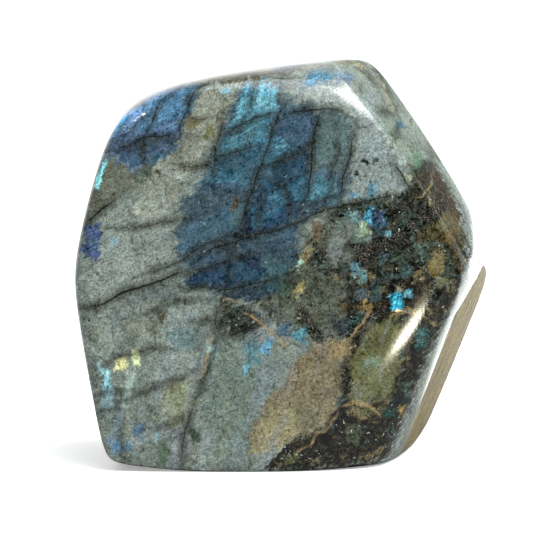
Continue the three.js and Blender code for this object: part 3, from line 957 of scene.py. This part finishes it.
# The front face's own markings.
def makeFace():
    tree, given, out = newGroup("faceMarkings", [("Place", "vector")],
                                [("Colour", "colour"), ("Crack", "value"), ("Vein", "value"),
                                 ("Rubble", "value")])
    where = given.outputs["Place"]
    fineShift = noise(tree, where, 1.7, 4, 0.7)["Color"]
    slowShift = noise(tree, where, 9, 2)["Color"]
    base = vectorCalc(tree, "ADD", where, scaled(
        tree, vectorCalc(tree, "SUBTRACT", slowShift, (0.5, 0.5, 0.5)), 2.0))
    fineShift = vectorCalc(tree, "SUBTRACT", fineShift, (0.5, 0.5, 0.5))
    tight = onFace(tree, vectorCalc(tree, "ADD", base, scaled(tree, fineShift, 1.0)))
    # the edges of the areas run out in feathers along the two cleavages
    feather = noise(tree, placed(tree, where, turn=27, size=(9, 1.3, 4)), 1.0, 3, 0.6)["Fac"]
    splinter = noise(tree, placed(tree, where, turn=-17, size=(1.3, 9, 4)), 1.0, 3, 0.6)["Fac"]
    feather = calc(tree, "MULTIPLY_ADD", feather, 9, -4.5)
    splinter = calc(tree, "MULTIPLY_ADD", splinter, 8, -4)
    frayed = vectorCalc(tree, "ADD", base, scaled(tree, fineShift, 2.2))
    frayed = vectorCalc(tree, "ADD", frayed, scaled(tree, (0.89, 0.45, 0.0), feather))
    frayed = vectorCalc(tree, "ADD", frayed, scaled(tree, (0.29, 0.96, 0.0), splinter))
    frayed = onFace(tree, frayed)
    loose = onFace(tree, vectorCalc(tree, "ADD", base, scaled(tree, fineShift, 2.6)))
    ragged = calc(tree, "SUBTRACT", noise(tree, where, 5.5, 6, 0.72, 0.5)["Fac"], 0.5)
    crumbly = calc(tree, "SUBTRACT", noise(tree, where, 2.2, 3, 0.6, 0.6)["Fac"], 0.5)
    mottle = noise(tree, where, 8, 5, 0.68, 0.8)["Fac"]
    blots = noise(tree, where, 6.5, 6, 0.72, 0.9)["Fac"]
    gleam = noise(tree, where, 5.5, 4, 0.65, 1.6)["Fac"]
    tiles = useGroup(tree, tileGroup, Place=where, Ragged=ragged)

    colour = blend(tree, span(tree, mottle, 0.35, 0.65), finish("faceDark"), finish("facePale"))
    areas = useGroup(tree, patchGroup, Under=colour, Place=frayed, Ragged=ragged)
    colour, rubble = areas["Colour"], areas["Rubble"]
    # broken ground: teal, olive and brown pieces, black between them
    teal = calc(tree, "MULTIPLY", rubble, span(tree, mottle, 0.46, 0.36))
    colour = blend(tree, calc(tree, "MULTIPLY", teal, 0.7), colour, finish("groundTeal"))
    olive = calc(tree, "MULTIPLY", rubble, span(tree, mottle, 0.53, 0.64))
    colour = blend(tree, calc(tree, "MULTIPLY", olive, 0.7), colour, finish("groundOlive"))
    dark = calc(tree, "MULTIPLY", rubble, span(tree, blots, 0.48, 0.6))
    colour = blend(tree, calc(tree, "MULTIPLY", dark, 0.85), colour, finish("groundBlack"))
    # black bands of crushed grains with pale rims
    depth = useGroup(tree, bandGroup, Place=loose)["Depth"]
    colour = blend(tree, calc(tree, "MULTIPLY", span(tree, depth, -2.2, 0.6), 0.9), colour,
                   finish("bandBlack"))
    crumbs = noise(tree, where, 1.5, 2, 0.6, 1.5)["Fac"]
    crumbs = calc(tree, "ABSOLUTE", calc(tree, "SUBTRACT", crumbs, 0.5))
    crumbs = calc(tree, "MULTIPLY", span(tree, crumbs, 0.03, 0.0), span(tree, depth, -0.8, 0.4))
    colour = blend(tree, calc(tree, "MULTIPLY", crumbs, 0.5), colour, finish("crumb"))
    # in the blue parts each tile goes its own way: violet, teal, lighter or darker, and dull
    # brown shows through here and there
    blue = blueness(tree, colour, 0.02, 0.09)
    violet = calc(tree, "MULTIPLY", span(tree, tiles["Shift"], 0.5, 0.95), blue)
    colour = blend(tree, calc(tree, "MULTIPLY", violet, 0.35), colour, finish("tileViolet"))
    teal = calc(tree, "MULTIPLY", span(tree, tiles["Shift"], 0.5, 0.1), blue)
    colour = blend(tree, calc(tree, "MULTIPLY", teal, 0.4), colour, finish("tileTeal"))
    dull = calc(tree, "MULTIPLY", span(tree, mottle, 0.5, 0.64), blue)
    colour = blend(tree, calc(tree, "MULTIPLY", dull, 0.6), colour, finish("dull"))
    shade = calc(tree, "MULTIPLY_ADD", blue, 0.45, 0.12)
    shade = calc(tree, "MULTIPLY_ADD", calc(tree, "SUBTRACT", tiles["Shade"], 0.5), shade, 1.0)
    # steep lilac and olive bands low on the face
    low = calc(tree, "SUBTRACT", span(tree, split(tree, where)[1], 62, 40), rubble, clamp=True)
    drift = noise(tree, placed(tree, where, turn=-14, size=(4.5, 24, 9)), 1.0, 3, 0.6)["Fac"]
    lilac = calc(tree, "MULTIPLY", span(tree, drift, 0.52, 0.66), low)
    colour = blend(tree, calc(tree, "MULTIPLY", lilac, 0.25), colour, finish("lowLilac"))
    olive = calc(tree, "MULTIPLY", span(tree, drift, 0.48, 0.34), low)
    colour = blend(tree, calc(tree, "MULTIPLY", olive, 0.3), colour, finish("lowOlive"))
    chipped = calc(tree, "MULTIPLY_ADD", crumbly, 0.7, ragged)
    colour = useGroup(tree, spotGroup, Under=colour, Place=loose, Ragged=chipped)["Colour"]

    # soft light and dark clouds over everything, warm or cold
    cloud = span(tree, blots, 0.3, 0.7, 1.36, 0.64, smooth=False)
    cloud = calc(tree, "MULTIPLY", cloud, shade)
    warm = calc(tree, "MULTIPLY_ADD", gleam, 0.3, -0.15)
    colour = blend(tree, 1.0, colour, join(
        tree, calc(tree, "ADD", cloud, warm), cloud, calc(tree, "SUBTRACT", cloud, warm)),
        "MULTIPLY")
    depth = useGroup(tree, crackGroup, Place=tight)["Depth"]
    halo = calc(tree, "MULTIPLY", span(tree, depth, -2.4, 0.1), 0.62)
    colour = blend(tree, halo, colour, finish("beside"))
    thin = span(tree, noise(tree, where, 13, 2)["Fac"], 0.45, 0.6)
    hair = hairlines(tree, where, 23, (12, 2.6, 6), 0.010, thin)
    fresh = span(tree, gleam, 0.42, 0.6)
    steepHair = hairlines(tree, where, -18, (2.6, 12, 6), 0.010, fresh)
    hair = calc(tree, "MAXIMUM", hair, steepHair)
    hair = calc(tree, "MAXIMUM", hair, calc(tree, "MULTIPLY", tiles["Edge"], fresh))
    crack = calc(tree, "MAXIMUM", span(tree, depth, 0.0, 0.28), calc(
        tree, "MULTIPLY", hair, 0.6))
    specks = calc(tree, "MULTIPLY", span(tree, crumbly, 0.17, 0.22), span(tree, gleam, 0.5, 0.62))
    crack = calc(tree, "MAXIMUM", crack, calc(tree, "MULTIPLY", specks, 0.9))
    pale = calc(tree, "MULTIPLY", span(tree, crumbly, -0.17, -0.23), span(
        tree, gleam, 0.5, 0.36))
    colour = blend(tree, calc(tree, "MULTIPLY", pale, 0.4), colour, finish("chip"))
    feed(tree, colour, out.inputs["Colour"])
    feed(tree, crack, out.inputs["Crack"])
    feed(tree, rubble, out.inputs["Rubble"])
    broken = calc(tree, "MULTIPLY_ADD", crumbly, 2.4, 0.6, clamp=True)
    vein = span(tree, useGroup(tree, veinGroup, Place=loose)["Depth"], -0.5, 0.25)
    feed(tree, calc(tree, "MULTIPLY", vein, broken), out.inputs["Vein"])
    return tree


grainGroup = makeGrain()
tileGroup = makeTiles()
patchGroup = makePatches()
spotGroup = makeSpots()
crackGroup = makeLines("faceCracks", faceCracks)
veinGroup = makeLines("faceVeins", faceVeins)
bandGroup = makeLines("faceBands", faceBands)
bodyGroup = makeBody()
faceGroup = makeFace()
print("markings:", len(facePatches), "areas and", len(faceSpots), "spots")


def makeLabradorite():
    material = bpy.data.materials.new("polishedLabradorite")
    material.use_nodes = True
    tree = material.node_tree
    shader = tree.nodes["Principled BSDF"]
    place = tree.nodes.new("ShaderNodeTexCoord").outputs["Object"]
    x, y, z = split(tree, scaled(tree, place, 1000.0))
    # the face's frame: across, up and into the stone, in millimetres
    where = join(tree, x, z, y)
    grain = useGroup(tree, grainGroup, Place=where)
    body = useGroup(tree, bodyGroup, Place=where)
    face = useGroup(tree, faceGroup, Place=where)
    further = calc(tree, "MAXIMUM", calc(tree, "MULTIPLY_ADD", x, 0.6, -9.0), 0.0)
    front = span(tree, calc(tree, "SUBTRACT", y, further), stoneFinish["frontFades"][1],
                 stoneFinish["frontFades"][0])
    colour = blend(tree, front, body["Colour"], face["Colour"])
    bodyCrack = calc(tree, "MULTIPLY", body["Crack"], calc(tree, "SUBTRACT", 1.0, calc(
        tree, "MULTIPLY", front, 0.85)))
    crack = calc(tree, "MAXIMUM", bodyCrack, calc(tree, "MULTIPLY", face["Crack"], front))
    vein = calc(tree, "MULTIPLY", face["Vein"], front)
    # pale streaks run through the blue parts along the shallow cleavage
    blue = blueness(tree, colour, 0.04, 0.18)
    streaks = noise(tree, placed(tree, where, turn=28, size=(7, 0.36, 3)), 1.0, 3, 0.6)["Fac"]
    often = span(tree, noise(tree, where, 10, 2)["Fac"], 0.4, 0.6, 0.15, 1.0)
    streak = calc(tree, "MULTIPLY", span(tree, streaks, 0.54, 0.66), calc(
        tree, "MULTIPLY", blue, often))
    colour = blend(tree, calc(tree, "MULTIPLY", streak, 0.75), colour, finish("streakPale"))
    steep = noise(tree, placed(tree, where, turn=-12, size=(0.45, 10, 3)), 1.0, 3, 0.6)["Fac"]
    darker = calc(tree, "MULTIPLY", span(tree, steep, 0.5, 0.66), blue)
    colour = blend(tree, calc(tree, "MULTIPLY", darker, 0.5), colour, finish("streakDark"))
    # grain
    strong = calc(tree, "MULTIPLY_ADD", calc(tree, "MULTIPLY", face["Rubble"], front), 0.9, 1.0)
    tone = calc(tree, "MULTIPLY_ADD", calc(tree, "SUBTRACT", grain["Tone"], 1.0), strong, 1.0)
    tone = calc(tree, "MAXIMUM", tone, 0.0)
    tint = join(tree, tone, tone, tone)
    haze = join(tree, grain["Haze"], grain["Haze"], grain["Haze"])
    colour = blend(tree, 1.0, colour, tint, "MULTIPLY")
    colour = blend(tree, 1.0, colour, haze, "ADD")
    colour = blend(tree, calc(tree, "MULTIPLY", vein, 0.8), colour, finish("gold"))
    colour = blend(tree, calc(tree, "MULTIPLY", crack, 0.88), colour, finish("crack"))
    colour = blend(tree, calc(tree, "MULTIPLY", grain["Fleck"], 0.9), colour, finish("crack"))
    glint = calc(tree, "MULTIPLY_ADD", strong, 0.45, -0.1)
    colour = blend(tree, calc(tree, "MULTIPLY", grain["Glint"], glint), colour, finish("glint"))
    # the raw side: tan, streaked along the cleavage, not polished
    middle = vectorCalc(tree, "SUBTRACT", scaled(tree, place, 1000.0), tuple(stoneShape["moved"]))
    length = vectorCalc(tree, "LENGTH", middle)
    square = calc(tree, "MULTIPLY", length, length)
    heights = []
    for name in ("rawSide", "rightLower"):
        turn, lean, distance, _, dome = stoneShape["facets"][name]
        onSide = vectorCalc(tree, "DOT_PRODUCT", middle, tuple(facing(turn, lean)))
        sag = calc(tree, "SUBTRACT", square, calc(tree, "MULTIPLY", onSide, onSide))
        sag = calc(tree, "MULTIPLY_ADD", sag, 1 / (2 * dome), -distance)
        heights.append(calc(tree, "ADD", onSide, sag))
    # it narrows to a tip at the top
    narrow = calc(tree, "MULTIPLY", calc(tree, "MAXIMUM", calc(
        tree, "SUBTRACT", z, 48.0), 0.0), 0.12)
    edge = calc(tree, "SUBTRACT", calc(tree, "SUBTRACT", heights[0], heights[1]), narrow)
    raw = calc(tree, "MULTIPLY", span(tree, heights[0], -1.1, -0.8),
               span(tree, edge, -0.12, 0.08))
    _, down, over = rawDirections()
    across = vectorCalc(tree, "DOT_PRODUCT", middle, tuple(over))
    along = vectorCalc(tree, "DOT_PRODUCT", middle, tuple(down))
    lines = noise(tree, join(tree, calc(tree, "MULTIPLY", across, 1.4),
                             calc(tree, "MULTIPLY", along, 0.05), 0.0), 1.0, 4, 0.65, 0.3)["Fac"]
    tan = blend(tree, span(tree, lines, 0.38, 0.5), finish("rawDark"), finish("raw"))
    tan = blend(tree, span(tree, lines, 0.52, 0.66), tan, finish("rawPale"))
    tan = blend(tree, 1.0, tan, tint, "MULTIPLY")
    colour = blend(tree, raw, colour, tan)
    rough = span(tree, raw, 0, 1, 0.1, 0.75)
    rough = calc(tree, "ADD", rough, calc(tree, "MULTIPLY", crack, 0.06))
    feed(tree, colour, shader.inputs["Base Color"])
    feed(tree, rough, shader.inputs["Roughness"])
    shader.inputs["IOR"].default_value = 1.56
    pits = calc(tree, "MULTIPLY", grain["Fleck"], 0.5)
    ridges = calc(tree, "MULTIPLY", calc(tree, "MULTIPLY", raw, lines), 1.2)
    height = calc(tree, "SUBTRACT", ridges, pits)
    bump = tree.nodes.new("ShaderNodeBump")
    bump.inputs["Strength"].default_value = 0.35
    bump.inputs["Distance"].default_value = 0.0002
    feed(tree, height, bump.inputs["Height"])
    feed(tree, bump.outputs[0], shader.inputs["Normal"])
    return material


stone.data.materials.append(makeLabradorite())
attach(stone, "root")
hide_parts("stone")
print("labradorite: material ready")


# The floor, the lights and the world round the stone.
studio = {
    "floorHalf": (0.42, 0.34),  # m
    "floorColour": "f4f4f2",
    "floorGlow": 0.35,
    # compass angle and height in degrees, distance, width and height in m, radiance, colour
    "lights": {
        "softWindow": (66, 58, 0.9, 0.50, 0.24, 11.5, "ffffff"),
        "windowRim": (70, 56.5, 0.93, 0.85, 0.36, 3.5, "ffffff"),
        "windowHalo": (48, 64, 0.96, 1.2, 0.62, 4.0, "f2f8ff"),
        "fill": (60, 60, 0.95, 0.9, 0.6, 3.8, "ffffff"),  # not mirrored in the polish
        "lowWarm": (23.3, -6.8, 0.943, 0.13, 0.045, 50, "fff9dd"),
        "lowGlow": (23.3, -6.8, 0.96, 0.19, 0.09, 7, "fff9dd"),
        "sideCard": (152, -11, 0.34, 0.40, 0.20, 3.0, "ffffff"),
        "smallPink": (-39, 42, 0.9, 0.05, 0.05, 50, "fff0ee"),
    },
    "worldFront": 0.05,
    "worldBack": 1.4,
}


def makeFloor():
    halfX, halfY = studio["floorHalf"]
    mesh = bpy.data.meshes.new("floor")
    mesh.from_pydata([(-halfX, -halfY, 0), (halfX, -halfY, 0), (halfX, halfY * 1.4, 0),
                      (-halfX, halfY * 1.4, 0)], [], [(0, 1, 2, 3)])
    floor = bpy.data.objects.new("floor", mesh)
    bpy.context.scene.collection.objects.link(floor)
    material = bpy.data.materials.new("paleFloor")
    material.use_nodes = True
    tree = material.node_tree
    shader = tree.nodes["Principled BSDF"]
    where = scaled(tree, tree.nodes.new("ShaderNodeTexCoord").outputs["Object"], 1000.0)
    mottle = noise(tree, where, 60, 2)["Fac"]
    colour = blend(tree, mottle, hue(studio["floorColour"]), hue("fbfbfa"))
    # the polish mirrors a dark floor before the stone and a pale one behind it
    rays = tree.nodes.new("ShaderNodeLightPath").outputs
    _, back, _ = split(tree, where)
    mirrored = calc(tree, "MULTIPLY", rays["Is Glossy Ray"], span(tree, back, 30, 80, 0.85, 0.0))
    feed(tree, blend(tree, mirrored, colour, hue("1c1c1c")), shader.inputs["Base Color"])
    shader.inputs["Roughness"].default_value = 0.7
    # the floor glows though it is no lamp: evenly for the camera, which paints its cast shadows
    # pale, and behind the stone for glossy rays, a painted reflection in the polish
    shader.inputs["Emission Color"].default_value = (1, 1, 1, 1)
    pale = calc(tree, "MULTIPLY", rays["Is Glossy Ray"], span(tree, back, 30, 80, 0.0, 0.8))
    feed(tree, calc(tree, "MULTIPLY_ADD", rays["Is Camera Ray"], studio["floorGlow"], pale),
         shader.inputs["Emission Strength"])
    mesh.materials.append(material)


def makeLight(name, azimuth, height, distance, wide, tall, radiance, colour):
    a, e = math.radians(azimuth), math.radians(height)
    aim = Vector((0, 0, 0.07))
    away = Vector((math.sin(a) * math.cos(e), -math.cos(a) * math.cos(e), math.sin(e)))
    data = bpy.data.lights.new(name, "AREA")
    data.shape = "ELLIPSE" if wide < 0.2 else "RECTANGLE"
    data.size, data.size_y = wide, tall
    data.energy = radiance * math.pi * wide * tall
    data.color = hue(colour)[:3]
    light = bpy.data.objects.new(name, data)
    light.location = aim + away * distance
    light.rotation_euler = (-away).to_track_quat("-Z", "Y").to_euler()
    light.visible_camera = False
    light.visible_glossy = name != "fill"
    bpy.context.scene.collection.objects.link(light)


def makeWorld():
    world = bpy.data.worlds.new("studio")
    bpy.context.scene.world = world
    world.use_nodes = True
    tree = world.node_tree
    background = tree.nodes["Background"]
    around = tree.nodes.new("ShaderNodeTexCoord").outputs["Generated"]
    glow = span(tree, split(tree, around)[1], -0.1, 0.5, studio["worldFront"], studio["worldBack"],
                smooth=False)
    # a dark screen behind on the right, above the level of the stone
    screen = vectorCalc(tree, "DOT_PRODUCT", around, (0.50, 0.80, 0.33))
    screen = calc(tree, "MULTIPLY", span(tree, screen, 0.84, 0.92), span(
        tree, split(tree, around)[2], 0.08, 0.12))
    glow = calc(tree, "MULTIPLY", glow, calc(tree, "MULTIPLY_ADD", screen, -0.92, 1.0))
    seen = tree.nodes.new("ShaderNodeLightPath").outputs["Is Camera Ray"]
    feed(tree, calc(tree, "MAXIMUM", seen, glow), background.inputs["Strength"])
    background.inputs["Color"].default_value = (1, 1, 1, 1)


def makeCamera():
    distance, height, field = 0.62, math.radians(4.5), 0.1715  # m, and m across the picture
    aim = Vector((-0.00216, -0.01027, 0.0662))
    away = Vector((0, -math.cos(height), math.sin(height)))
    data = bpy.data.cameras.new("camera")
    data.sensor_width = 36
    data.lens = 36 * distance / field
    data.shift_x, data.shift_y = -15 / 533, -10 / 533
    camera = bpy.data.objects.new("camera", data)
    camera.location = aim + away * distance
    camera.rotation_euler = (-away).to_track_quat("-Z", "Y").to_euler()
    bpy.context.scene.collection.objects.link(camera)
    bpy.context.scene.camera = camera


makeFloor()
for name, values in studio["lights"].items():
    makeLight(name, *values)
makeWorld()
makeCamera()
bpy.context.scene.view_settings.view_transform = "Standard"
print("studio: floor, lights and camera placed")
